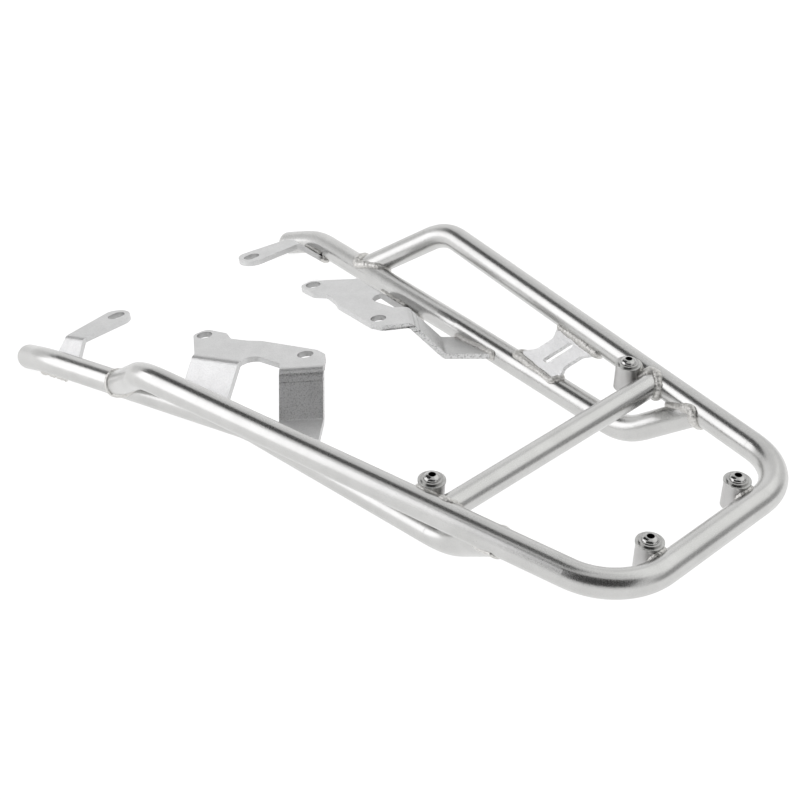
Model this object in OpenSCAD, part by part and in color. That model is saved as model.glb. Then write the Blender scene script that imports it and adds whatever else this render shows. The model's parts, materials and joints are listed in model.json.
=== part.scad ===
// Welded tube rack for a motorbike top case.
// X points to the right of the bike, Y to the front and Z up.
// The origin is the middle of the rear bar, on its axis.

/* [Tubes] */
// Outer diameter of the loop and the side tubes
tube_d = 18; // [16:0.5:20]
// Wall of every tube
tube_wall = 2; // [1.5:0.25:2.5]
// Outer diameter of the crossbar
crossbar_d = 16; // [14:0.5:17]

/* [Upper loop] */
// Half the distance between the rails, measured at the rear bar
rear_half = 82; // [76:1:88]
// Outward run of each rail for one millimetre forward
rail_taper = 0.17; // [0.14:0.01:0.2]
// Distance from the rear bar to the front corner of a rail
loop_len = 352; // [346:1:358]
// Centre line radius of the two rear corners
rear_bend_r = 42; // [38:1:46]
// Centre line radius where a rail turns down to the side tube
arm_bend_r = 35; // [32:1:40]
// Distance forward at which the arm meets the side tube
arm_foot_y = 415; // [410:1:420]
// Distance from the rear bar to the crossbar
crossbar_y = 120.5; // [117:0.5:124]

/* [Side tubes] */
// Depth of the side tube axis under the rails, at its middle bend
side_drop = 36.5; // [34:0.5:39]
// Half the distance between the side tubes at their middle bend
side_half = 96; // [94:0.5:98]
// Distance from the rear bar to the middle bend
side_bend_y = 300; // [296:1:304]
// Outward run of the front part for one millimetre forward
side_splay = 0.19; // [0.17:0.01:0.21]
// Downward run of the front part for one millimetre forward
side_dip = 0.12; // [0.1:0.01:0.14]
// Outward run of the rear part for one millimetre forward
side_toe = 0.07; // [0.05:0.01:0.09]
// Distance forward of the corner where the tube starts to rise to the rail
rise_y = 128; // [124:1:132]
// Distance forward at which the rising end meets the rail
rise_foot_y = 80; // [76:1:84]
// Distance forward of the bend near the front end
nose_y = 482; // [479:1:485]
// Length of the nose past its bend
nose_len = 34; // [31:1:36]
// Downward slope of the nose in degrees
nose_dip = 23; // [20:1:26]
// Inward turn of the nose in degrees, seen from above
nose_turn = 17; // [14:1:20]
// Centre line radius of the bend near the front end
nose_bend_r = 62; // [58:1:66]
// Centre line radius of the rear bend, and a third of the one in the middle
side_bend_r = 40; // [36:1:44]

/* [Mounting plane] */
// Height of the bracket tops below the rails, at the middle bend
mount_drop = 10.5; // [9.5:0.5:11.5]
// Forward slope of the bracket tops in degrees
mount_tilt = 12; // [11:0.5:13]
// Sheet thickness of the brackets and tabs
sheet_t = 4; // [3:0.5:4.5]
// Inner radius of the folds
fold_r = 2.5; // [2:0.5:3]
// Diameter of the two holes in each middle bracket
bracket_hole_d = 11; // [9:0.5:12]
// Half the distance between the front holes of the middle brackets
front_hole_half = 51.8; // [50:0.2:54]
// Distance from the rear bar to these front holes
front_hole_y = 401; // [397:1:405]
// Half the distance between the rear holes of the middle brackets
rear_hole_half = 34.4; // [32.4:0.2:36.4]
// Distance from the rear bar to these rear holes
rear_hole_y = 313.5; // [310.5:0.5:316.5]
// Half the distance between the slots of the front tabs
tab_slot_half = 65.5; // [63.5:0.5:67.5]
// Width of the slot in each front tab
tab_slot_w = 9; // [7:0.5:10]
// Length of the slot in each front tab
tab_slot_len = 13; // [11:0.5:15]

/* [Link plates] */
// Distance from the rear bar to the foot of each plate
link_y = 210; // [205:1:215]
// How far the plate leans back on its way up to the rail
link_lean = 18; // [15:1:21]
// Width of the plate where it meets the tubes
link_end = 38; // [35:1:41]
// Width of its waist
link_waist = 28; // [26:1:31]
// Width of the slot in its middle
link_slot_w = 5; // [4:0.5:6]

/* [Bosses] */
// Diameter of the bosses
boss_d = 16; // [15:0.5:17]
// Height of a boss
boss_h = 17; // [15:0.5:19]
// Height of the boss tops above the tube axes
boss_top = 8; // [7.8:0.2:9]
// Depth that a front boss is let into its rail
front_boss_seat = 3.24; // [2.5:0.02:4]
// Clearance between the crossbar and a front boss
front_boss_gap = 1.5; // [0.5:0.25:2.5]
// Half the distance between the rear bosses
rear_boss_half = 41.7; // [36:0.1:46]
// Depth that a rear boss is let into the rear bar
rear_boss_seat = 2.2; // [1.4:0.2:3]

/* [Screws] */
// Thread diameter of the screws
screw_d = 6; // [5:0.5:6]
// Length of the screws under their heads
screw_len = 16; // [14:1:18]
// Flange diameter of the screw heads
head_flange_d = 13.6; // [13:0.1:14.5]
// Diameter of the domed part of the heads
head_dome_d = 10.5; // [10:0.1:11]
// Height of the heads
head_h = 3.6; // [3.2:0.1:4]
// Width across the flats of the hex sockets
socket_af = 4; // [3.5:0.5:4.5]
// Diameter of the washers
washer_d = 17; // [16:0.5:18]
// Thickness of the washers
washer_t = 1.6; // [1.2:0.1:2]

/* [Hidden] */
$fn = 48;
tube_r = tube_d / 2;
crossbar_r = crossbar_d / 2;
boss_r = boss_d / 2;
// Depth that a sheet is let into a tube where it is welded on
seat = 0.3;
// Clearance of a coped end that lands on a tube of its own diameter
cope_gap = 0.03;
// Bends are drawn this much thinner and run this far into the straight parts,
// which in turn narrow by bend_drop over the length bend_run inside a bend
bend_slack = 0.05;
fold_slack = 0.02;
fold_inset = 0.07;
bend_lap = 0.5;
bend_drop = 0.4;
bend_run = 1.5;
// The nose bend is run on this far where the front tab is cut to it
nose_lap = 5;

// Small vector helpers
function unit(v) = v / norm(v);
function angle_between(a, b) = acos(max(-1, min(1, unit(a) * unit(b))));
function flip(p) = [-p.x, p.y, p.z];

// Lines that the frame is laid out on
function rail_x(y) = rear_half + rail_taper * y;
function side_slope(y) = y > side_bend_y ? side_splay : side_toe;
function side_x(y) = side_half + side_slope(y) * (y - side_bend_y);
function side_z(y) = -side_drop - (y > side_bend_y ? side_dip * (y - side_bend_y) : 0);
function side_point(y) = [side_x(y), y, side_z(y)];
function mount_z(y) = -mount_drop - tan(mount_tilt) * (y - side_bend_y);

// Turns local X and Z to the given directions, which are square to each other
module face_to(x, z) {
  y = cross(z, x);
  rotate([atan2(y.z, z.z), -asin(max(-1, min(1, x.z))), atan2(x.y, x.x)]) children();
}

// Solid round bar from p to q
module rod(p, q, r) {
  z = unit(q - p);
  side = abs(z.z) > 0.9 ? [1, 0, 0] : [0, 0, 1];
  translate(p) face_to(unit(cross(side, z)), z) cylinder(h = norm(q - p), r = r);
}

// How much of a straight length the bend at point i takes up
function bend_trim(pts, bends, i) =
  (i == 0 || i == len(pts) - 1) ? 0
  : bends[i - 1] * tan(angle_between(pts[i] - pts[i - 1], pts[i + 1] - pts[i]) / 2);

// Straight part of a bent bar from p to q, narrowing where it enters a bend
module straight_part(p, q, r, bend_before, bend_after) {
  z = unit(q - p);
  h = norm(q - p);
  side = abs(z.z) > 0.9 ? [1, 0, 0] : [0, 0, 1];
  translate(p)
    face_to(unit(cross(side, z)), z)
      rotate_extrude()
        polygon(concat(
          bend_before ? [[0, -bend_run], [r - bend_drop, -bend_run]] : [[0, 0]],
          [[r, 0], [r, h]],
          bend_after ? [[r - bend_drop, h + bend_run], [0, h + bend_run]] : [[0, h]]
        ));
}

// Solid bar along a path, with a true arc at every inner point and, where
// asked for, a dome on its first end
module bent_rod(pts, bends, r, dome = false) {
  last = len(pts) - 2;
  for (i = [0 : last]) {
    u = unit(pts[i + 1] - pts[i]);
    from = pts[i] + u * bend_trim(pts, bends, i);
    to = pts[i + 1] - u * bend_trim(pts, bends, i + 1);
    straight_part(from, to, r, i > 0 || dome, i < last);
  }
  if (dome)
    translate(pts[0]) sphere(r - bend_slack);
  for (i = [1 : len(pts) - 2])
    bend_solid(pts, bends, i, r, bend_lap);
}

// Bend at point i of such a path, run on by a lap at both of its ends
module bend_solid(pts, bends, i, r, lap) {
  u = unit(pts[i] - pts[i - 1]);
  v = unit(pts[i + 1] - pts[i]);
  bend_r = bends[i - 1];
  inward = unit(v - u * (u * v));
  start = pts[i] - u * bend_trim(pts, bends, i);
  lap_angle = lap / bend_r * 180 / PI;
  translate(start + inward * bend_r)
    face_to(-inward, cross(u, inward))
      rotate([0, 0, -lap_angle])
        rotate_extrude(angle = angle_between(u, v) + 2 * lap_angle, $fn = 96)
          translate([bend_r, 0])
            circle(r - bend_slack);
}

// The same path, made longer by a millimetre at its open ends, for a bore
function run_out(pts, dome) = [
  for (i = [0 : len(pts) - 1])
    i == 0 && !dome ? pts[0] + unit(pts[0] - pts[1])
    : i == len(pts) - 1 ? pts[i] + unit(pts[i] - pts[i - 1])
    : pts[i]
];

// Bent tube, open at both ends or closed by a dome at its first end
module bent_tube(pts, bends, r, dome = false) {
  difference() {
    bent_rod(pts, bends, r, dome);
    bent_rod(run_out(pts, dome), bends, r - tube_wall, dome);
  }
}

// Outline with every corner rounded by its own radius, one arc for each
function corner_arc(a, p, b, r, n = 6) =
  r == 0 ? [p] :
  let (
    u = unit(a - p),
    v = unit(b - p),
    half = angle_between(u, v) / 2,
    centre = p + unit(u + v) * r / sin(half),
    from = p + u * r / tan(half) - centre,
    to = p + v * r / tan(half) - centre,
    sweep = angle_between(from, to)
  )
  [for (i = [0 : n]) centre + (from * sin(sweep * (1 - i / n)) + to * sin(sweep * i / n)) / sin(sweep)];

function rounded(pts, radii) = [
  for (i = [0 : len(pts) - 1])
    each corner_arc(pts[(i + len(pts) - 1) % len(pts)], pts[i], pts[(i + 1) % len(pts)], radii[i])
];

// Upper loop
rear_corner = [rear_half, 0, 0];
front_corner = [rail_x(loop_len), loop_len, 0];
arm_foot = side_point(arm_foot_y);
LOOP_PATH = [
  arm_foot, front_corner, rear_corner,
  flip(rear_corner), flip(front_corner), flip(arm_foot)
];
LOOP_BENDS = [arm_bend_r, rear_bend_r, rear_bend_r, arm_bend_r];

module right_rail_solid(gap = 0) rod(rear_corner, front_corner, tube_r + gap);
module rear_bar_solid() rod(flip(rear_corner), rear_corner, tube_r);
module crossbar_solid() {
  reach = rail_x(crossbar_y);
  rod([-reach, crossbar_y, 0], [reach, crossbar_y, 0], crossbar_r);
}

module upper_loop() {
  color("silver")
    difference() {
      bent_tube(LOOP_PATH, LOOP_BENDS, tube_r);
      right_side_front_solid(cope_gap);
      mirror([1, 0, 0]) right_side_front_solid(cope_gap);
    }
}

module crossbar() {
  reach = rail_x(crossbar_y);
  color("silver")
    difference() {
      bent_tube([[-reach, crossbar_y, 0], [reach, crossbar_y, 0]], [], crossbar_r);
      right_rail_solid();
      mirror([1, 0, 0]) right_rail_solid();
    }
}

// Side tubes
nose_bend = side_point(nose_y);
nose_angle = atan(side_splay) - nose_turn;
nose_heading = [sin(nose_angle), cos(nose_angle), 0];
nose_tip = nose_bend + nose_len * (nose_heading * cos(nose_dip) - [0, 0, sin(nose_dip)]);
rise_foot = [rail_x(rise_foot_y), rise_foot_y, 0];
SIDE_PATH = [nose_tip, nose_bend, side_point(side_bend_y), side_point(rise_y), rise_foot];
SIDE_BENDS = [nose_bend_r, 3 * side_bend_r, side_bend_r];

// Straight parts of the right side tube, which its neighbours are cut to fit
module right_side_front_solid(gap = 0) {
  rod(nose_bend, side_point(side_bend_y), tube_r + gap);
}
module right_side_rear_solid() rod(side_point(side_bend_y), side_point(rise_y), tube_r);
module right_nose_bend_solid() bend_solid(SIDE_PATH, SIDE_BENDS, 1, tube_r, nose_lap);

module right_side_tube_shape() {
  difference() {
    bent_tube(SIDE_PATH, SIDE_BENDS, tube_r, dome = true);
    right_rail_solid(cope_gap);
  }
}

module right_side_tube() color("silver") right_side_tube_shape();
module left_side_tube() color("silver") mirror([1, 0, 0]) right_side_tube_shape();

// Folded sheet
// In these modules local Z points out of the upper face of the sheet, local Y
// leads across the fold and local X runs along it.

// Moves to the plane that all the bracket tops lie in
module on_mount() {
  translate([0, side_bend_y, -mount_drop]) rotate([-mount_tilt, 0, 0]) children();
}
function mount_point(x, y) = [x, (y - side_bend_y) / cos(mount_tilt)];

function fold_trim(angle) = (fold_r + sheet_t) * tan(angle / 2);

// Sets the children at the fold line from a to b, both on the mounting plane
module at_line(a, b) {
  dir = b - a;
  translate([a.x, a.y, 0]) rotate([0, 0, atan2(dir.y, dir.x)]) children();
}

// Part of a ring with the sheet's thickness, from its lower end round to one side
module fold_ring(width, angle) {
  lap = 2;
  rotate([0, 0, -lap])
    rotate_extrude(angle = angle + 2 * lap, $fn = 64)
      translate([fold_r + fold_slack, fold_inset])
        square([sheet_t - 2 * fold_slack, width - 2 * fold_inset]);
}

// Fold as wide as the sheet, which turns it down by an angle
module fold_down(width, angle) {
  translate([0, 0, -fold_r - sheet_t]) {
    rotate([0, 90, 0]) rotate([0, 0, 180 - angle]) fold_ring(width, angle);
    rotate([-angle, 0, 0]) translate([0, 0, fold_r + sheet_t]) children();
  }
}

// The same for a turn up, with the centre above the sheet
module fold_up(width, angle) {
  translate([0, 0, fold_r]) {
    rotate([0, 90, 0]) fold_ring(width, angle);
    rotate([angle, 0, 0]) translate([0, 0, -fold_r]) children();
  }
}

module sheet(outline) {
  translate([0, 0, -sheet_t]) linear_extrude(sheet_t) polygon(outline);
}

// Slope of the legs that pass under a side tube, seen from behind
bracket_leg_slope = 43;
tab_leg_slope = 40;
// Where the upper faces of the top and such a leg would meet in a sharp edge,
// so that the leg rests against the underside of the tube
function leg_line_x(y, slope) =
  side_x(y) - (tube_r - seat + (mount_z(y) - side_z(y)) * cos(slope)) / sin(slope);
function leg_line_point(y, slope) = mount_point(leg_line_x(y, slope), y);
// Angle that the sheet is folded by at such a line
function leg_fold(y0, y1, slope) =
  let (
    along = [leg_line_x(y0, slope) - leg_line_x(y1, slope), y0 - y1, mount_z(y0) - mount_z(y1)],
    leg = cross([cos(slope), 0, -sin(slope)], along),
    top = [0, sin(mount_tilt), cos(mount_tilt)]
  )
  angle_between(leg, top);
// Length of such a leg from that line to the line where it touches the tube
function leg_reach(y, slope) =
  norm([side_x(y) - leg_line_x(y, slope), mount_z(y) - side_z(y)]) ;

// Front tabs
tab_rear_y = nose_y - 7;
tab_front_y = nose_y + 9;
tab_tip_r = 11.5;
tab_tip = mount_point(tab_slot_half + 1.5, nose_y + 6.5);

module right_front_tab_shape() {
  a = leg_line_point(tab_front_y, tab_leg_slope);
  b = leg_line_point(tab_rear_y, tab_leg_slope);
  width = norm(b - a);
  angle = leg_fold(tab_front_y, tab_rear_y, tab_leg_slope);
  trim = fold_trim(angle);
  out = unit([a.y - b.y, b.x - a.x]);
  leg_len = leg_reach(tab_rear_y, tab_leg_slope) - trim;
  difference() {
    on_mount() {
      difference() {
        sheet(concat(
          [a - out * trim, b - out * trim],
          [for (i = [0 : 12]) tab_tip + tab_tip_r * [cos(-98 - 164 * i / 12), sin(-98 - 164 * i / 12)]]
        ));
        slot(tab_slot_half, tab_tip.y);
      }
      at_line(a, b)
        translate([0, -trim, 0])
          fold_down(width, angle)
            sheet([[0, 0], [width, 0], [width + 3, leg_len], [-4, leg_len]]);
    }
    right_nose_bend_solid();
  }
}

// Slot across the bike, through the sheet
module slot(x, y) {
  half = (tab_slot_len - tab_slot_w) / 2;
  translate([x, y, -sheet_t - 1]) {
    for (side = [-1, 1])
      translate([side * half, 0, 0]) cylinder(h = sheet_t + 2, d = tab_slot_w);
    translate([-half, -tab_slot_w / 2, 0]) cube([2 * half, tab_slot_w, sheet_t + 2]);
  }
}

module right_front_tab() color("silver") right_front_tab_shape();
module left_front_tab() color("silver") mirror([1, 0, 0]) right_front_tab_shape();

// Middle brackets: a top with two holes, a leg under the side tube and, behind
// it, a second leg with a foot that meets the inner face of the same tube
function by_front_hole(x, y) = mount_point(front_hole_half + x, front_hole_y + y);
function by_rear_hole(x, y) = mount_point(rear_hole_half + x, rear_hole_y + y);
bracket_leg_front_y = front_hole_y - 20;
bracket_leg_rear_y = front_hole_y - 57;
foot_line_front = by_rear_hole(25.9, -2.5);
foot_line_rear = by_rear_hole(7.1, -25.5);
foot_leg_fold = 52;
foot_fold = 43;
foot_leg_len = 31;
bracket_front_hole = by_front_hole(0, 0);
bracket_rear_hole = by_rear_hole(0, 0);

module right_mid_bracket_shape() {
  a = leg_line_point(bracket_leg_front_y, bracket_leg_slope);
  b = leg_line_point(bracket_leg_rear_y, bracket_leg_slope);
  leg_w = norm(b - a);
  leg_angle = leg_fold(bracket_leg_front_y, bracket_leg_rear_y, bracket_leg_slope);
  leg_trim = fold_trim(leg_angle);
  leg_out = unit([a.y - b.y, b.x - a.x]);
  leg_len = leg_reach(bracket_leg_rear_y, bracket_leg_slope) - leg_trim;
  c = foot_line_front;
  d = foot_line_rear;
  foot_w = norm(d - c);
  foot_trim = fold_trim(foot_leg_fold);
  foot_out = unit([c.y - d.y, d.x - c.x]);
  difference() {
    on_mount() {
      difference() {
        sheet(rounded([
          a - leg_out * leg_trim,
          by_front_hole(4.2, 7.5),
          by_front_hole(-7.3, 7),
          by_front_hole(-10.8, -11.5),
          by_front_hole(-6.3, -22),
          by_front_hole(-10.8, -35),
          by_front_hole(-15.8, -44),
          by_rear_hole(-9.4, -1.5),
          by_rear_hole(-7.9, -11.5),
          d - foot_out * foot_trim,
          c - foot_out * foot_trim,
          by_rear_hole(19.1, 4.5),
          by_rear_hole(20.1, 31),
          b - leg_out * leg_trim
        ], [0, 5, 5, 5, 4, 6, 8, 5, 5, 0, 0, 2, 8, 0]));
        for (hole = [bracket_front_hole, bracket_rear_hole])
          translate([hole.x, hole.y, -sheet_t - 1]) cylinder(h = sheet_t + 2, d = bracket_hole_d);
      }
      at_line(a, b)
        translate([0, -leg_trim, 0])
          fold_down(leg_w, leg_angle)
            sheet([[0, 0], [leg_w, 0], [leg_w, leg_len], [0, leg_len]]);
      at_line(c, d)
        translate([0, -foot_trim, 0])
          fold_down(foot_w, foot_leg_fold)
            union() {
              sheet([[0, 0], [foot_w, 0], [foot_w, foot_leg_len], [0, foot_leg_len]]);
              translate([0, foot_leg_len, 0])
                fold_up(foot_w, foot_fold)
                  sheet([[0, 0], [foot_w, 0], [foot_w, 40], [0, 18]]);
            }
    }
    right_side_front_solid();
    right_side_rear_solid();
    beyond_side_tube();
  }
}

// Everything outboard of the axis of the rear part of the side tube
module beyond_side_tube() {
  start = side_point(rise_y);
  along = unit(side_point(side_bend_y) - start);
  translate(start)
    face_to(unit(cross(along, [0, 0, 1])), [0, 0, 1])
      translate([0, 0, -20]) cube([60, 200, 40]);
}

module right_mid_bracket() color("silver") right_mid_bracket_shape();
module left_mid_bracket() color("silver") mirror([1, 0, 0]) right_mid_bracket_shape();

// Link plates between the rails and the side tubes, with a slot in the middle
link_low = side_point(link_y) + [0, 0, tube_r];
link_high = [rail_x(link_y - link_lean), link_y - link_lean, 0] + tube_r * unit([-1, 0, -1]);

module right_link_plate_shape() {
  along = unit([0.12, 1, 0]);
  climb = link_high - link_low;
  square_climb = unit(climb - along * (climb * along));
  lean = (climb * along) / (climb * square_climb);
  rise = climb * square_climb;
  // A point at a distance along the tubes and a share of the climb
  function at(s, k) = [s + k * rise * lean, k * rise];
  difference() {
    translate(link_low)
      face_to(along, cross(along, square_climb))
        translate([0, 0, -sheet_t / 2])
          linear_extrude(sheet_t)
            difference() {
              polygon(rounded([
                at(-link_end / 2, -0.25), at(link_end / 2, -0.25), at(link_end / 2, 0.08),
                at(link_waist / 2, 0.3), at(link_waist / 2, 0.72), at(link_end / 2, 0.92),
                at(link_end / 2, 1.15), at(-link_end / 2, 1.15), at(-link_end / 2, 0.92),
                at(-link_waist / 2, 0.72), at(-link_waist / 2, 0.3), at(-link_end / 2, 0.08)
              ], [0, 0, 1, 5, 5, 1, 0, 0, 1, 5, 5, 1]));
              polygon(rounded([
                at(-link_slot_w / 2, 0.15), at(link_slot_w / 2, 0.15),
                at(link_slot_w / 2, 0.85), at(-link_slot_w / 2, 0.85)
              ], [1.5, 1.5, 1.5, 1.5]));
            }
    right_side_rear_solid();
    right_rail_solid();
  }
}

module right_link_plate() color("silver") right_link_plate_shape();
module left_link_plate() color("silver") mirror([1, 0, 0]) right_link_plate_shape();

// Bosses with their washers and screws
front_boss_y = crossbar_y + crossbar_r + front_boss_gap + boss_r;
front_boss_half = rail_x(front_boss_y) - tube_r - boss_r + front_boss_seat;
rear_boss_y = tube_r + boss_r - rear_boss_seat;

module boss_at(x, y) {
  color("silver")
    difference() {
      translate([x, y, boss_top - boss_h]) cylinder(h = boss_h, d = boss_d);
      translate([x, y, boss_top - boss_h - 1]) cylinder(h = boss_h + 2, d = screw_d);
      right_rail_solid();
      mirror([1, 0, 0]) right_rail_solid();
      crossbar_solid();
      rear_bar_solid();
    }
}

module washer_at(x, y) {
  color("gainsboro")
    translate([x, y, boss_top])
      difference() {
        cylinder(h = washer_t, d = washer_d);
        translate([0, 0, -1]) cylinder(h = washer_t + 2, d = screw_d);
      }
}

module screw_at(x, y) {
  flange_t = 1.2;
  dome_h = head_h - flange_t;
  socket_depth = head_h - 1;
  color("lightsteelblue")
    translate([x, y, boss_top + washer_t])
      difference() {
        union() {
          translate([0, 0, -screw_len]) cylinder(h = screw_len, d = screw_d);
          cylinder(h = flange_t, d = head_flange_d);
          // The dome is a slice of a ball that is flat where the socket opens
          rotate_extrude($fn = 64)
            polygon(concat(
              [[0, flange_t]],
              [for (i = [0 : 8])
                let (a = 62 * i / 8)
                [head_dome_d / 2 * cos(a), flange_t + dome_h * sin(a) / sin(62)]],
              [[0, head_h]]
            ));
        }
        translate([0, 0, head_h - socket_depth])
          cylinder(h = socket_depth + 1, d = socket_af / cos(30), $fn = 6);
      }
}

module left_front_boss() boss_at(-front_boss_half, front_boss_y);
module right_front_boss() boss_at(front_boss_half, front_boss_y);
module left_rear_boss() boss_at(-rear_boss_half, rear_boss_y);
module right_rear_boss() boss_at(rear_boss_half, rear_boss_y);
module left_front_washer() washer_at(-front_boss_half, front_boss_y);
module right_front_washer() washer_at(front_boss_half, front_boss_y);
module left_rear_washer() washer_at(-rear_boss_half, rear_boss_y);
module right_rear_washer() washer_at(rear_boss_half, rear_boss_y);
module left_front_screw() screw_at(-front_boss_half, front_boss_y);
module right_front_screw() screw_at(front_boss_half, front_boss_y);
module left_rear_screw() screw_at(-rear_boss_half, rear_boss_y);
module right_rear_screw() screw_at(rear_boss_half, rear_boss_y);

upper_loop();
crossbar();
left_side_tube();
right_side_tube();
left_front_tab();
right_front_tab();
left_mid_bracket();
right_mid_bracket();
left_link_plate();
right_link_plate();
left_front_boss();
right_front_boss();
left_rear_boss();
right_rear_boss();
left_front_washer();
right_front_washer();
left_rear_washer();
right_rear_washer();
left_front_screw();
right_front_screw();
left_rear_screw();
right_rear_screw();
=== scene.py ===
import json
import math

import bmesh
import bpy
import numpy as np
from mathutils import Matrix, Vector


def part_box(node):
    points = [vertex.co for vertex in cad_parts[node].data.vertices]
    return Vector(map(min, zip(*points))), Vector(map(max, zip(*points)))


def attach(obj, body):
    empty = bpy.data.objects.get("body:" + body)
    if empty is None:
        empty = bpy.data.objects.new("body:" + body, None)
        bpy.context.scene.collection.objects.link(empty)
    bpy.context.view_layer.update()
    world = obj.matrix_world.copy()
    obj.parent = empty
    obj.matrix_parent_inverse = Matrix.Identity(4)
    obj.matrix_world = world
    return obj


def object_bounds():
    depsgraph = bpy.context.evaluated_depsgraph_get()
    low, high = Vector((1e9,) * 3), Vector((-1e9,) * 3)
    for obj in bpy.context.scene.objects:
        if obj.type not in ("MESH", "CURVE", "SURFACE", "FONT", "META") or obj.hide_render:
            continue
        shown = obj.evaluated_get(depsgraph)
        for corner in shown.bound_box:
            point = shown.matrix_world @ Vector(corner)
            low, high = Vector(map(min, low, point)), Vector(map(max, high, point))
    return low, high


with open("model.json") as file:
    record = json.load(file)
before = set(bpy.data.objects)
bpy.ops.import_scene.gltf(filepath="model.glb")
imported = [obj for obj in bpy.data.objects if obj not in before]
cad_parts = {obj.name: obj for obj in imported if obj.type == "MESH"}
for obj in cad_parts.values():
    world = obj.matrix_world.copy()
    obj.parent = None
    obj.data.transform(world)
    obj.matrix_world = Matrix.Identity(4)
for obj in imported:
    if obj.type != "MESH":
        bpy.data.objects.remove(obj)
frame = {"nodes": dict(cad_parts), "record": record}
cad_lo, cad_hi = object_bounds()
nodes = frame["nodes"]
mounts = {m["name"]: m for m in frame["record"]["mounts"]}

# Sizes of the rack, as in its solids: millimetres, for the right side, with the left one as its mirror image

MM = 0.001
TUBE_R = 9.0
RAIL_HALF = 82.0
RAIL_SPREAD = 0.17
RAIL_END_Y = 352.0
CROSSBAR_R = 8.0
CROSSBAR_Y = 120.5
CROSSBAR_HALF = 102.0
SIDE_BEND_Y = 300.0
SIDE_HALF = 96.0
SIDE_DROP = 36.5
SIDE_FRONT_SPREAD = 0.19
SIDE_REAR_SPREAD = 0.07
SIDE_FALL = 0.12
SIDE_REAR_Y = 128.0
NOSE_Y = 482.0
PLANE_DROP = 10.5
PLANE_Y = 300.0
PLANE_TILT = math.radians(12)
BRACKET_LEG_SLOPE = 43.0
TAB_LEG_SLOPE = 40.0
TAB_SLOT_HALF = 65.5
TAB_SLOT_Y = 488.5
TAB_SLOT_R = 4.5
TAB_SLOT_STRAIGHT = 2.0
SOCKET_R = 2.15


def unit(v):
    v = np.asarray(v, float)
    return v / np.linalg.norm(v)


# Camera, as fitted to the photograph: degrees, metres and a lens in millimetres

CAMERA_TURN = -45.71
CAMERA_HEIGHT = 34.85
CAMERA_ROLL = 1.95
CAMERA_LENS = 73.915
CAMERA_AIM = np.array([0, 0.190, 0])
CAMERA_DISTANCE = 1.05557
CAMERA_SHIFT = (-0.04729, -0.00292)
SENSOR_WIDTH = 36
CLIP = (0.01, 50)


def make_camera():
    turn, height, roll = (math.radians(v) for v in (CAMERA_TURN, CAMERA_HEIGHT, CAMERA_ROLL))
    back = np.array([
        math.sin(turn) * math.cos(height),
        -math.cos(turn) * math.cos(height),
        math.sin(height),
    ])
    level = unit(np.cross([0, 0, 1], back))
    upright = np.cross(back, level)
    x = math.cos(roll) * level + math.sin(roll) * upright
    y = math.cos(roll) * upright - math.sin(roll) * level
    place = CAMERA_AIM + back * CAMERA_DISTANCE + x * CAMERA_SHIFT[0] + y * CAMERA_SHIFT[1]
    data = bpy.data.cameras.new("camera")
    data.sensor_width = SENSOR_WIDTH
    data.lens = CAMERA_LENS
    data.clip_start, data.clip_end = CLIP
    cam = bpy.data.objects.new("camera", data)
    turned = Matrix.Identity(4)
    for i in range(3):
        turned[i] = (x[i], y[i], back[i], place[i])
    cam.matrix_world = turned
    bpy.context.scene.collection.objects.link(cam)
    bpy.context.scene.camera = cam


make_camera()

# Materials


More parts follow.
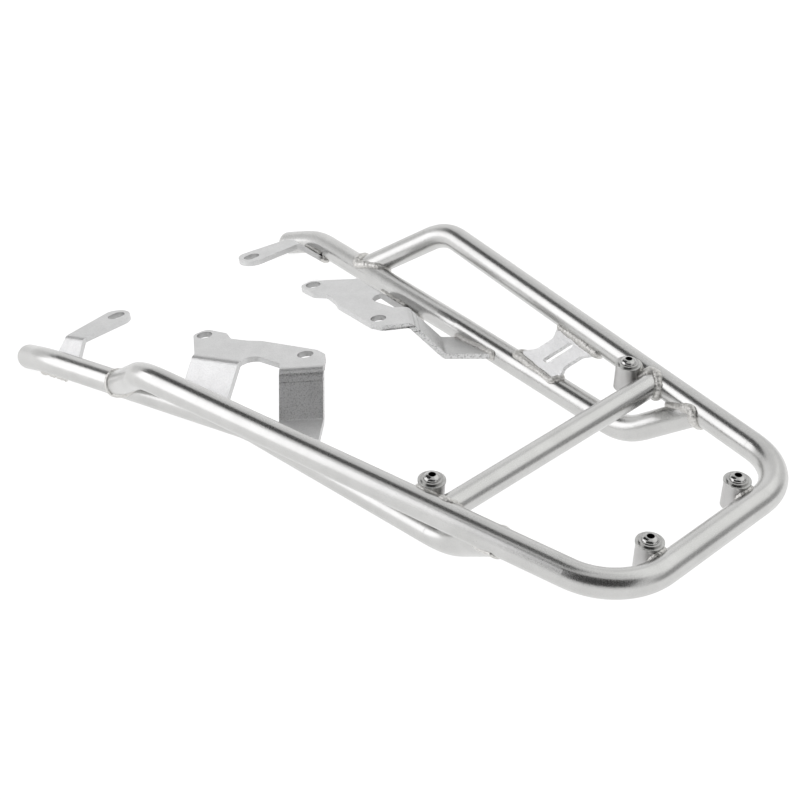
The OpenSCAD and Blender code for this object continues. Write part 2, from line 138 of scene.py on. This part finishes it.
class Look:
    """A metal whose nodes are written as sums over the place and the facing of its surface."""

    def __init__(self, name):
        self.material = bpy.data.materials.new(name)
        self.material.use_nodes = True
        self.tree = self.material.node_tree
        self.tree.nodes.clear()
        self.bsdf = self.node("ShaderNodeBsdfPrincipled")
        out = self.node("ShaderNodeOutputMaterial")
        self.link(self.bsdf.outputs["BSDF"], out.inputs["Surface"])
        self.bsdf.inputs["Metallic"].default_value = 1.0
        coordinates = self.node("ShaderNodeTexCoord")
        self.where = coordinates.outputs["Object"]
        self.place = self.parts_of(self.where)
        self.facing = self.parts_of(coordinates.outputs["Normal"])

    def node(self, kind, **values):
        made = self.tree.nodes.new(kind)
        for label, value in values.items():
            made.inputs[label.replace("_", " ")].default_value = value
        return made

    def link(self, source, target):
        self.tree.links.new(source, target)

    def parts_of(self, socket):
        split = self.node("ShaderNodeSeparateXYZ")
        self.link(socket, split.inputs["Vector"])
        return split.outputs

    def noise(self, scale, detail, roughness=0.5):
        made = self.node("ShaderNodeTexNoise", Scale=scale, Detail=detail, Roughness=roughness)
        self.link(self.where, made.inputs["Vector"])
        return made.outputs["Fac"]

    def sum(self, kind, a, b=None, clamp=False):
        made = self.tree.nodes.new("ShaderNodeMath")
        made.operation = kind
        made.use_clamp = clamp
        for i, value in enumerate((a, b)):
            if isinstance(value, (int, float)):
                made.inputs[i].default_value = value
            elif value is not None:
                self.link(value, made.inputs[i])
        return made.outputs[0]

    def add(self, a, b, clamp=False):
        return self.sum("ADD", a, b, clamp)

    def less(self, a, b, clamp=False):
        return self.sum("SUBTRACT", a, b, clamp)

    def times(self, a, b, clamp=False):
        return self.sum("MULTIPLY", a, b, clamp)

    def peak(self, value, at, half_width):
        """One where the value is at a given number, and nothing beyond half a width from it."""
        away = self.sum("ABSOLUTE", self.less(value, at))
        return self.less(1.0, self.times(away, 1 / half_width), clamp=True)

    def bump(self, height, distance, below=None):
        made = self.node("ShaderNodeBump", Strength=1.0, Distance=distance)
        self.link(height, made.inputs["Height"])
        if below is not None:
            self.link(below, made.inputs["Normal"])
        return made.outputs["Normal"]

    def shade(self, factor):
        """Multiplies the colour of the metal."""
        colour = self.bsdf.inputs["Base Color"]
        before = colour.links[0].from_socket
        mix = self.tree.nodes.new("ShaderNodeMix")
        mix.data_type = "RGBA"
        mix.inputs["A"].default_value = (0, 0, 0, 1)
        self.link(factor, mix.inputs["Factor"])
        self.link(before, mix.inputs["B"])
        self.link(mix.outputs["Result"], colour)


# Noise: the detail and roughness of its two kinds, and the spans of it that give tone and roughness

SOFT = (3.0, 0.55)
FINE = (2.0, 0.6)
CLOUD_EDGES = (0.3, 0.7)
GRAIN_EDGES = (0.25, 0.75)
WAVES_PER_CLOUD = 2.2


def metal(name, dark, light, rough, cloud=60, grain=2200, grain_height=0.03, wave_height=0.0):
    """Metal with soft clouds of tone, and a fine grain in its roughness and surface.

    cloud and grain are counts a metre, and the heights are in millimetres.
    """
    look = Look(name)
    tone = look.node("ShaderNodeValToRGB")
    for element, edge, colour in zip(tone.color_ramp.elements, CLOUD_EDGES, (dark, light)):
        element.position = edge
        element.color = (*colour, 1)
    look.link(look.noise(cloud, *SOFT), tone.inputs["Fac"])
    look.link(tone.outputs["Color"], look.bsdf.inputs["Base Color"])
    fine = look.noise(grain, *FINE)
    level = look.node(
        "ShaderNodeMapRange",
        From_Min=GRAIN_EDGES[0], From_Max=GRAIN_EDGES[1], To_Min=rough[0], To_Max=rough[1],
    )
    look.link(fine, level.inputs["Value"])
    look.link(level.outputs["Result"], look.bsdf.inputs["Roughness"])
    waves = None
    if wave_height:
        waves = look.bump(look.noise(cloud * WAVES_PER_CLOUD, *SOFT), wave_height * MM)
    look.link(look.bump(fine, grain_height * MM, waves), look.bsdf.inputs["Normal"])
    return look


# Painted shade in holes: how far past a hole the mask reaches, its soft edge, and the share of colour left
# on the walls of the sheet's holes and in the screws' sockets
HOLE_MARGIN = 0.05
HOLE_EDGE = 0.2
HOLE_SHADE = 0.7
SOCKET_SHADE = 0.05


def paint_hole_shade(look, holes, tilt, dark):
    """Paints shade on the walls of holes on both sides of the rack, the shade that falls inside them.

    Each hole is its centre in metres, then half the straight of a slot and its radius in millimetres.
    """
    x = look.sum("ABSOLUTE", look.place["X"])
    outside = None
    for centre, straight, radius in holes:
        aside = look.sum("ABSOLUTE", look.less(x, centre[0]))
        aside = look.sum("MAXIMUM", look.less(aside, straight * MM), 0.0)
        along = look.less(
            look.times(look.less(look.place["Y"], centre[1]), math.cos(tilt)),
            look.times(look.less(look.place["Z"], centre[2]), math.sin(tilt)),
        )
        square = look.add(look.times(aside, aside), look.times(along, along))
        past = look.less(look.sum("SQRT", square), (radius + HOLE_MARGIN) * MM)
        outside = past if outside is None else look.sum("MINIMUM", outside, past)
    # Full colour outside the holes, falling to the painted shade on their walls
    bright = look.times(outside, 1 / (HOLE_EDGE * MM), clamp=True)
    look.shade(look.add(look.times(bright, 1 - dark), dark))


# Colour grain of the sheet, and painted shade on its faces that look back behind the rear leg's end, where
# the grain is painted far deeper
REAR_SHADE_Y = 317.0
REAR_SHADE_FADE = 3.0
REAR_GRAIN = (1000, 2.0)
GRAIN_DEPTH = 0.25
REAR_GRAIN_SHADE = 2.8
GRAIN_TONE = 0.96
# Painted shade: two dark lines beside the bracket's fold, each its depth below the plane and half width in
# millimetres, then how dark they are
LOWER_FOLD_SHADE = (7.4, 0.6)
FOLD_SHADE = (3.4, 1.3)
FOLD_SHADE_DEPTH = 0.9


def paint_grain_and_rear_shade(look):
    """Colour grain on the sheet, painted much deeper as shade on the bracket's faces that look back, and two
    painted lines of shade beside their fold.
    """
    y, z = look.place["Y"], look.place["Z"]
    # Painted shade: a mask of the faces that look back, behind the rear leg's end
    rear = look.times(look.less(REAR_SHADE_Y * MM, y), 1 / (REAR_SHADE_FADE * MM), clamp=True)
    back = look.times(look.times(look.facing["Y"], -1.0, clamp=True), rear)
    grain = look.less(look.noise(*REAR_GRAIN), 0.5)
    grain_and_shade_depth = look.add(look.times(back, REAR_GRAIN_SHADE), GRAIN_DEPTH)
    slope = look.times(look.less(y, PLANE_Y * MM), math.tan(PLANE_TILT))
    over_plane = look.add(look.add(z, PLANE_DROP * MM), slope)
    # Two painted lines of shade beside the fold, only on the faces that look back
    fold_shades = [look.peak(over_plane, -down * MM, half * MM) for down, half in (LOWER_FOLD_SHADE, FOLD_SHADE)]
    lines = look.times(look.add(*fold_shades), look.times(back, -FOLD_SHADE_DEPTH))
    # Grain in the colour everywhere, painted far deeper as shade on the faces that look back
    tone = look.add(look.times(grain, grain_and_shade_depth), GRAIN_TONE)
    look.shade(look.add(tone, lines, clamp=True))


def hole(mount):
    """A round hole of the record, as paint_hole_shade takes it."""
    return mounts[mount]["pos_m"], 0.0, mounts[mount]["dims"]["r_mm"]


def tab_slot():
    z = -PLANE_DROP - math.tan(PLANE_TILT) * (TAB_SLOT_Y - PLANE_Y)
    return np.array([TAB_SLOT_HALF, TAB_SLOT_Y, z]) * MM, TAB_SLOT_STRAIGHT, TAB_SLOT_R


def socket(node):
    lo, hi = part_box(node)
    return [(lo[i] + hi[i]) / 2 for i in range(3)], 0.0, SOCKET_R


TUBE = metal(
    "satin_tube", (0.545, 0.543, 0.535), (0.60, 0.598, 0.59), (0.22, 0.31),
    grain=2600, grain_height=0.014,
)
SHEET = metal(
    "satin_sheet", (0.65, 0.65, 0.65), (0.71, 0.71, 0.71), (0.34, 0.46),
    cloud=90, grain=1050, grain_height=0.16,
)
BOSS = metal(
    "turned_boss", (0.47, 0.465, 0.46), (0.58, 0.575, 0.57), (0.32, 0.42),
    grain=2400, grain_height=0.02,
)
WASHER = metal(
    "washer_steel", (0.46, 0.46, 0.45), (0.56, 0.56, 0.55), (0.24, 0.34),
    cloud=300, grain=2600, grain_height=0.01,
)
SCREW = metal(
    "screw_steel", (0.42, 0.42, 0.41), (0.54, 0.535, 0.53), (0.10, 0.16),
    cloud=400, grain=3000, grain_height=0.004,
)
WELD = metal(
    "weld_bead", (0.54, 0.53, 0.51), (0.74, 0.73, 0.71), (0.28, 0.46),
    cloud=520, grain=1900, grain_height=0.06, wave_height=0.4,
)
# Painted shade inside the screws' sockets, and on the walls of the brackets' holes and the tabs' slots
paint_hole_shade(SCREW, [socket("right_front_screw"), socket("right_rear_screw")], 0, SOCKET_SHADE)
paint_hole_shade(
    SHEET, [hole("right_bracket_front_hole"), hole("right_bracket_rear_hole"), tab_slot()],
    PLANE_TILT, HOLE_SHADE,
)
paint_grain_and_rear_shade(SHEET)
KINDS = {"tab": SHEET, "bracket": SHEET, "plate": SHEET, "boss": BOSS, "washer": WASHER, "screw": SCREW}
JOIN = 0.002
EDGE_WIDTH = 0.3
EDGE_ANGLE = 40
EDGE_SEGMENTS = 2
EVEN_WEIGHT = 80
EDGED = (SHEET, WASHER, BOSS)


def clean_edges(obj):
    """Joins the faces of a CAD mesh, rounds its sharp edges a little and evens its normals."""
    join = obj.modifiers.new("join", "WELD")
    join.merge_threshold = JOIN * MM
    edge = obj.modifiers.new("edge", "BEVEL")
    edge.width = EDGE_WIDTH * MM
    edge.segments = EDGE_SEGMENTS
    edge.limit_method = "ANGLE"
    edge.angle_limit = math.radians(EDGE_ANGLE)
    edge.use_clamp_overlap = True
    even = obj.modifiers.new("even", "WEIGHTED_NORMAL")
    even.mode = "FACE_AREA"
    even.weight = EVEN_WEIGHT


for name, obj in nodes.items():
    look = next((KINDS[word] for word in KINDS if word in name), TUBE)
    obj.data.materials.clear()
    obj.data.materials.append(look.material)
    if look in EDGED:
        clean_edges(obj)

# Axes of the tubes


def rail_point(y):
    return np.array([RAIL_HALF + RAIL_SPREAD * y, y, 0.0])


def side_point(y):
    """Point on the axis of the right side tube, before or behind its middle bend."""
    ahead = y - SIDE_BEND_Y
    if ahead > 0:
        return np.array([SIDE_HALF + SIDE_FRONT_SPREAD * ahead, y, -SIDE_DROP - SIDE_FALL * ahead])
    return np.array([SIDE_HALF + SIDE_REAR_SPREAD * ahead, y, -SIDE_DROP])


def crosswise(half, y):
    return np.array([-half, y, 0]), np.array([half, y, 0])


AXES = {
    "rail": (rail_point(0), rail_point(RAIL_END_Y), TUBE_R),
    "bar": (*crosswise(RAIL_HALF, 0), TUBE_R),
    "cross": (*crosswise(CROSSBAR_HALF, CROSSBAR_Y), CROSSBAR_R),
    "front": (side_point(SIDE_BEND_Y), side_point(NOSE_Y), TUBE_R),
    "rear": (side_point(SIDE_REAR_Y), side_point(SIDE_BEND_Y), TUBE_R),
}


def toward(p, name):
    """Distance of p from a tube's surface, and the surface's normal there."""
    a, b, r = AXES[name]
    along = unit(b - a)
    q = p - a
    q = q - along * (q @ along)
    n = np.linalg.norm(q)
    return n - r, q / max(n, 1e-9)


# Seams, where a coped piece meets a tube

SEAM_REACH = 0.35
SEAM_LEAST = 14.0
SEAT_FACING = 0.97
FLUSH = 0.995


def seam_direction(edge, others):
    """Which way a bead bulges at an edge, or None where the edge is on no seam with those tubes."""
    if len(edge.link_faces) != 2:
        return None
    found = None
    middle = np.array((edge.verts[0].co + edge.verts[1].co) / 2, float) / MM
    for other in others:
        distance, out = toward(middle, other)
        seated = [np.array(f.normal) @ out < -SEAT_FACING for f in edge.link_faces]
        if abs(distance) < SEAM_REACH and seated[0] != seated[1]:
            free = np.array(edge.link_faces[1 if seated[0] else 0].normal)
            found = unit(out + free) if abs(out @ free) < FLUSH else out
    return found


def chains(links):
    """Walks linked points into chains, from the open ends first."""
    seen = set()
    found = []
    for start in [k for k in links if len(links[k]) == 1] + list(links):
        if start in seen:
            continue
        chain = [start]
        seen.add(start)
        while True:
            onward = [k for k in links[chain[-1]] if k not in seen]
            if not onward:
                break
            chain.append(onward[0])
            seen.add(onward[0])
        found.append(chain)
    return found


def length_of(points):
    return np.linalg.norm(np.diff(points, axis=0), axis=1).sum()


def seams(node, others):
    """Lines where a node meets tubes, longest first, as (points, outward directions, closed or not)."""
    bm = bmesh.new()
    bm.from_mesh(nodes[node].data)
    bmesh.ops.remove_doubles(bm, verts=bm.verts, dist=JOIN * MM)
    links = {}
    outs = {}
    for edge in bm.edges:
        out = seam_direction(edge, others)
        if out is None:
            continue
        a, b = (v.index for v in edge.verts)
        for one, other in ((a, b), (b, a)):
            outs.setdefault(one, []).append(out)
            links.setdefault(one, []).append(other)
    bm.verts.ensure_lookup_table()
    lines = []
    for chain in chains(links):
        closed = len(chain) > 3 and chain[0] in links[chain[-1]]
        pts = np.array([np.array(bm.verts[i].co, float) / MM for i in chain])
        dirs = np.array([unit(np.sum(outs[i], axis=0)) for i in chain])
        if length_of(pts) > SEAM_LEAST:
            lines.append((pts, dirs, closed))
    bm.free()
    lines.sort(key=lambda line: -length_of(line[0]))
    return lines


# Weld beads

BEAD_STEP = 0.3
BEAD_LEAST_POINTS = 8
BEAD_SMOOTHINGS = 6
BEAD_SIDES = 14
BEAD_HEIGHT = 0.78
BEAD_WANDER = 0.3
BEAD_SCALLOP = 0.14
BEAD_LEAN = 0.5
BEAD_CROWN = 0.35
BEAD_END = 0.9
BEAD_TIP = 0.02
RIPPLE_WARP = 1.6
RIPPLE_SHAPE = 0.6
SWAYS = 8
SWAY_FALL = 0.6


def smoothed(v, closed):
    if closed:
        return (np.roll(v, 1, 0) + 2 * v + np.roll(v, -1, 0)) / 4
    v = v.copy()
    v[1:-1] = (v[:-2] + 2 * v[1:-1] + v[2:]) / 4
    return v


def resample(pts, dirs, closed):
    """Even, smoothed points along a seam, with their directions and distances from its start."""
    if closed:
        pts = np.vstack([pts, pts[:1]])
        dirs = np.vstack([dirs, dirs[:1]])
    s = np.concatenate([[0], np.cumsum(np.linalg.norm(np.diff(pts, axis=0), axis=1))])
    count = max(BEAD_LEAST_POINTS, int(s[-1] / BEAD_STEP))
    at = np.linspace(0, s[-1], count, endpoint=not closed)
    p, d = (np.stack([np.interp(at, s, v[:, i]) for i in range(3)], 1) for v in (pts, dirs))
    for _ in range(BEAD_SMOOTHINGS):
        p, d = smoothed(p, closed), smoothed(d, closed)
    d /= np.linalg.norm(d, axis=1)[:, None]
    return p, d, at


def irregular(s, total, rng):
    """Three slow, irregular waves along a bead, which meet at the ends of a ring."""
    waves = np.zeros((3, len(s)))
    for k in range(1, SWAYS + 1):
        a, b, c = rng.normal(size=3) / k ** SWAY_FALL
        x = 2 * math.pi * k * s / total
        waves[0] += a * np.sin(x + b)
        waves[1] += c * np.cos(x + a)
        waves[2] += b * np.sin(x + c)
    return [w / (np.abs(w).max() + 1e-9) for w in waves]


def weld_piece(name, bm):
    """Makes a mesh of weld metal, with the finish of the weld beads, which rides with the rack."""
    bmesh.ops.recalc_face_normals(bm, faces=bm.faces)
    mesh = bpy.data.meshes.new(name)
    bm.to_mesh(mesh)
    bm.free()
    mesh.shade_smooth()
    mesh.materials.append(WELD.material)
    obj = bpy.data.objects.new(name, mesh)
    bpy.context.scene.collection.objects.link(obj)
    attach(obj, "root")


def ring_faces(rings, closed):
    """Corners of the faces between rings of points, then of the caps on open ends."""
    for ring in range(rings if closed else rings - 1):
        here, onward = ring * BEAD_SIDES, (ring + 1) % rings * BEAD_SIDES
        for k in range(BEAD_SIDES):
            beside = (k + 1) % BEAD_SIDES
            yield here + k, onward + k, onward + beside, here + beside
    if not closed:
        yield tuple(range(BEAD_SIDES))
        yield tuple((rings - 1) * BEAD_SIDES + k for k in reversed(range(BEAD_SIDES)))


def bead(name, pts, dirs, closed, half, seed, pitch=2.1, lift=0.25, rough=0.16, mirrored=False):
    """A rippled bead of weld metal along a seam.

    half is half its width, and lift and rough are shares of that.
    """
    p, d, s = resample(pts, dirs, closed)
    n = len(p)
    t = np.roll(p, -1, 0) - np.roll(p, 1, 0) if closed else np.gradient(p, axis=0)
    t /= np.linalg.norm(t, axis=1)[:, None]
    side = np.cross(t, d)
    side /= np.linalg.norm(side, axis=1)[:, None]
    up = np.cross(side, t)
    total = s[-1] + BEAD_STEP
    phase = 2 * math.pi * max(2, round(total / pitch)) * s / total
    wander, sway, warp = irregular(s, total, np.random.default_rng(seed))
    scallop = np.abs(np.sin((phase + RIPPLE_WARP * warp) / 2)) ** RIPPLE_SHAPE
    r = half * (1 - BEAD_SCALLOP + rough * wander + BEAD_SCALLOP * scallop)
    if not closed:
        r *= np.sqrt(np.clip(np.minimum(s, s[-1] - s) / (half * BEAD_END), BEAD_TIP, 1))
    lean = BEAD_LEAN * np.sin(phase / 2 + warp)
    bm = bmesh.new()
    for i in range(n):
        centre = p[i] + up[i] * (lift * half) + side[i] * sway[i] * BEAD_WANDER
        for a in np.linspace(0, 2 * math.pi, BEAD_SIDES, endpoint=False):
            crown = t[i] * (BEAD_CROWN * lean[i] * max(0.0, math.sin(a)))
            out = side[i] * math.cos(a) + up[i] * math.sin(a) * BEAD_HEIGHT
            x, y, z = (centre + out * r[i] + crown) * MM
            bm.verts.new((-x if mirrored else x, y, z))
    bm.verts.ensure_lookup_table()
    for face in ring_faces(n, closed):
        bm.faces.new([bm.verts[k] for k in face])
    weld_piece(name, bm)


LEFT_SEED = 50


def right_half(centre):
    return centre[0] > 0


def weld(node, others, label, right, left=None, keep=1, only=None):
    """Beads on both sides of the rack, from a node's longest seams on its right side."""
    lines = [line for line in seams(node, others) if only is None or only(line[0].mean(0))]
    for i, (pts, dirs, closed) in enumerate(lines[:keep]):
        seed = sum(map(ord, label)) + i
        bead("right_weld_%s_%d" % (label, i + 1), pts, dirs, closed, seed=seed, **right)
        bead("left_weld_%s_%d" % (label, i + 1), pts, dirs, closed, seed=seed + LEFT_SEED, mirrored=True,
             **(left or right))


# Weld metal under the side tubes, beside the legs that pass there, and lumps where beads end

CORNER_POINTS = 24


def corner(y, slope, inboard=5.6, up=1.5):
    """Point in the corner between the right side tube and a leg that passes under it."""
    a = math.radians(slope)
    normal = np.array([math.sin(a), 0, math.cos(a)])
    out = np.array([math.cos(a), 0, -math.sin(a)])
    return side_point(y) - normal * (TUBE_R - up) - out * inboard


def corner_bead(label, y0, y1, slope, seed, inboard=5.6, up=1.5, **how):
    pts = np.array([corner(y, slope, inboard, up) for y in np.linspace(y0, y1, CORNER_POINTS)])
    a = math.radians(slope)
    side = -1 if inboard > 0 else 1
    out = unit([side * math.cos(a) + math.sin(a), 0, math.cos(a) - side * math.sin(a)])
    dirs = np.tile(out, (len(pts), 1))
    bead("right_weld_" + label, pts, dirs, False, seed=seed, **how)
    bead("left_weld_" + label, pts, dirs, False, seed=seed, mirrored=True, **how)


LUMP_WAVES = 5
LUMP_TURN = 2.4
LUMP_RISE = 0.09
LUMP_PHASE = 6.28
LUMP_SUBDIVISIONS = 4


def lump(name, centre, radii, seed):
    """Irregular blob of weld metal at the end of a bead, on both sides of the rack."""
    rng = np.random.default_rng(seed)
    waves = [(rng.normal(size=3) * LUMP_TURN, rng.uniform(0, LUMP_PHASE)) for _ in range(LUMP_WAVES)]
    for side, sign in (("right", 1), ("left", -1)):
        bm = bmesh.new()
        bmesh.ops.create_icosphere(bm, subdivisions=LUMP_SUBDIVISIONS, radius=1.0)
        for v in bm.verts:
            c = np.array(v.co, float)
            grow = 1 + LUMP_RISE * sum(math.sin(k @ c + a) for k, a in waves)
            x, y, z = (np.array(centre) + c * grow * np.array(radii)) * MM
            v.co = (sign * x, y, z)
        weld_piece("%s_%s" % (side, name), bm)


LINK_BEAD = dict(half=3.0, rough=0.28, pitch=3.2)
BOSS_BEAD = dict(half=2.3, rough=0.24)

weld("upper_loop", ["front"], "arm", dict(half=2.9, rough=0.3, pitch=3.2),
     dict(half=1.9, rough=0.08, lift=0.1), only=right_half)
weld("crossbar", ["rail"], "crossbar", dict(half=3.1, rough=0.24, pitch=3.0),
     dict(half=2.3, rough=0.14, lift=0.1), only=right_half)
weld("right_side_tube", ["rail"], "side_tube_rear", dict(half=2.9, rough=0.26, pitch=2.8),
     dict(half=1.6, rough=0.1, lift=0.05))
weld("right_front_tab", ["front"], "tab", dict(half=1.9), keep=2)
weld("right_mid_bracket", ["front", "rear"], "bracket", dict(half=2.3, rough=0.3), dict(half=2.0), keep=4)
weld("right_link_plate", ["rear", "rail"], "link", LINK_BEAD, keep=4)
weld("right_front_boss", ["rail", "cross"], "front_boss", BOSS_BEAD, dict(half=2.0), keep=2)
weld("right_rear_boss", ["bar"], "rear_boss", BOSS_BEAD, keep=2)
corner_bead("leg_inner", 346, 379, BRACKET_LEG_SLOPE, 5, half=1.9, rough=0.34, pitch=2.4)
corner_bead("tab_inner", 466, 490, TAB_LEG_SLOPE, 9, half=1.8, rough=0.3, pitch=2.4)
corner_bead("tab_outer", 462, 489, TAB_LEG_SLOPE, 15, inboard=-7.3, up=2.4,
            half=2.2, rough=0.32, pitch=4.2)
lump("weld_end_leg", (95.4, 341.0, -45.9), (3.0, 3.4, 2.8), 3)
lump("weld_end_tab", (120.0, 462.0, -62.6), (3.0, 3.2, 2.8), 7)
lump("weld_end_foot", (84.0, 262.0, -37.6), (3.0, 3.2, 2.8), 11)

# Floor and light. The cards and softboxes stand on a dome round the rack

AIM = (0, 0.2, 0)
REACH = 2.4
FLOOR_HALF = 6
FLOOR_GAP = 0.5
FLOOR_TONE = 0.35
FLOOR_GLOW = 0.82
MATTE_ROUGHNESS = 0.9
SKY = 0.85


def matte(name, tone):
    mat = bpy.data.materials.new(name)
    mat.use_nodes = True
    bsdf = mat.node_tree.nodes["Principled BSDF"]
    bsdf.inputs["Base Color"].default_value = (tone, tone, tone, 1)
    bsdf.inputs["Roughness"].default_value = MATTE_ROUGHNESS
    return mat, bsdf


def sheet_of(name, corners, mat):
    mesh = bpy.data.meshes.new(name)
    mesh.from_pydata([tuple(c) for c in corners], [], [(0, 1, 2, 3)])
    mesh.materials.append(mat)
    obj = bpy.data.objects.new(name, mesh)
    bpy.context.scene.collection.objects.link(obj)
    return obj


def make_floor():
    """White floor just under the rack, with a glow that takes the shadows out, as in the photograph."""
    h, z = FLOOR_HALF, cad_lo.z - FLOOR_GAP * MM
    mat, bsdf = matte("pale_floor", FLOOR_TONE)
    bsdf.inputs["Emission Color"].default_value = (1, 1, 1, 1)
    bsdf.inputs["Emission Strength"].default_value = FLOOR_GLOW
    sheet_of("floor", [(-h, -h, z), (h, -h, z), (h, h, z), (-h, h, z)], mat)


def around(turn, height):
    """Place on the dome, in degrees from the front to the right of the rack, and up."""
    a, e = math.radians(turn), math.radians(height)
    out = (math.sin(a) * math.cos(e), math.cos(a) * math.cos(e), math.sin(e))
    return [AIM[i] + REACH * out[i] for i in range(3)]


def span(degrees):
    return 2 * REACH * math.tan(math.radians(degrees) / 2)


def glow(name, turn, height, wide, high, strength, colour=(1, 1, 1)):
    """Softbox that spans so many degrees as seen from the rack."""
    data = bpy.data.lights.new(name, "AREA")
    data.shape = "RECTANGLE"
    data.size, data.size_y = span(wide), span(high)
    data.energy = strength * math.pi * data.size * data.size_y
    data.color = colour
    obj = bpy.data.objects.new(name, data)
    obj.location = around(turn, height)
    obj.rotation_euler = (Vector(AIM) - obj.location).to_track_quat("-Z", "Y").to_euler()
    bpy.context.scene.collection.objects.link(obj)


def dim(name, turn, height, wide, high, tone, roll=0):
    """Dark card, out of the camera's sight, which gives the tubes their dark lines."""
    centre = np.array(around(turn, height))
    z = unit(np.array(AIM) - centre)
    level = unit(np.cross([0, 0, 1], z))
    upright = np.cross(z, level)
    a = math.radians(roll)
    x = (level * math.cos(a) + upright * math.sin(a)) * span(wide) / 2
    y = (upright * math.cos(a) - level * math.sin(a)) * span(high) / 2
    corners = [centre - x - y, centre + x - y, centre + x + y, centre - x + y]
    sheet_of(name, corners, matte(name + "_paint", tone)[0]).visible_camera = False


def make_sky():
    world = bpy.data.worlds.new("studio")
    world.use_nodes = True
    background = world.node_tree.nodes["Background"]
    background.inputs["Color"].default_value = (1, 1, 1, 1)
    background.inputs["Strength"].default_value = SKY
    bpy.context.scene.world = world


bpy.context.scene.view_settings.view_transform = "Standard"
make_floor()
make_sky()
glow("key", -51, 23, 48, 46, 1.05, (0.985, 0.98, 1))
glow("right_high", 111, 51, 60, 40, 0.34, (0.985, 1, 0.965))
glow("right_front", 38, 17, 56, 30, 0.18)
dim("line_card", -9, 56, 30, 52, 0.03, roll=15)
dim("camera_card", -124, 41, 80, 56, 0.03)
dim("right_card", 142, 14, 56, 24, 0.4)
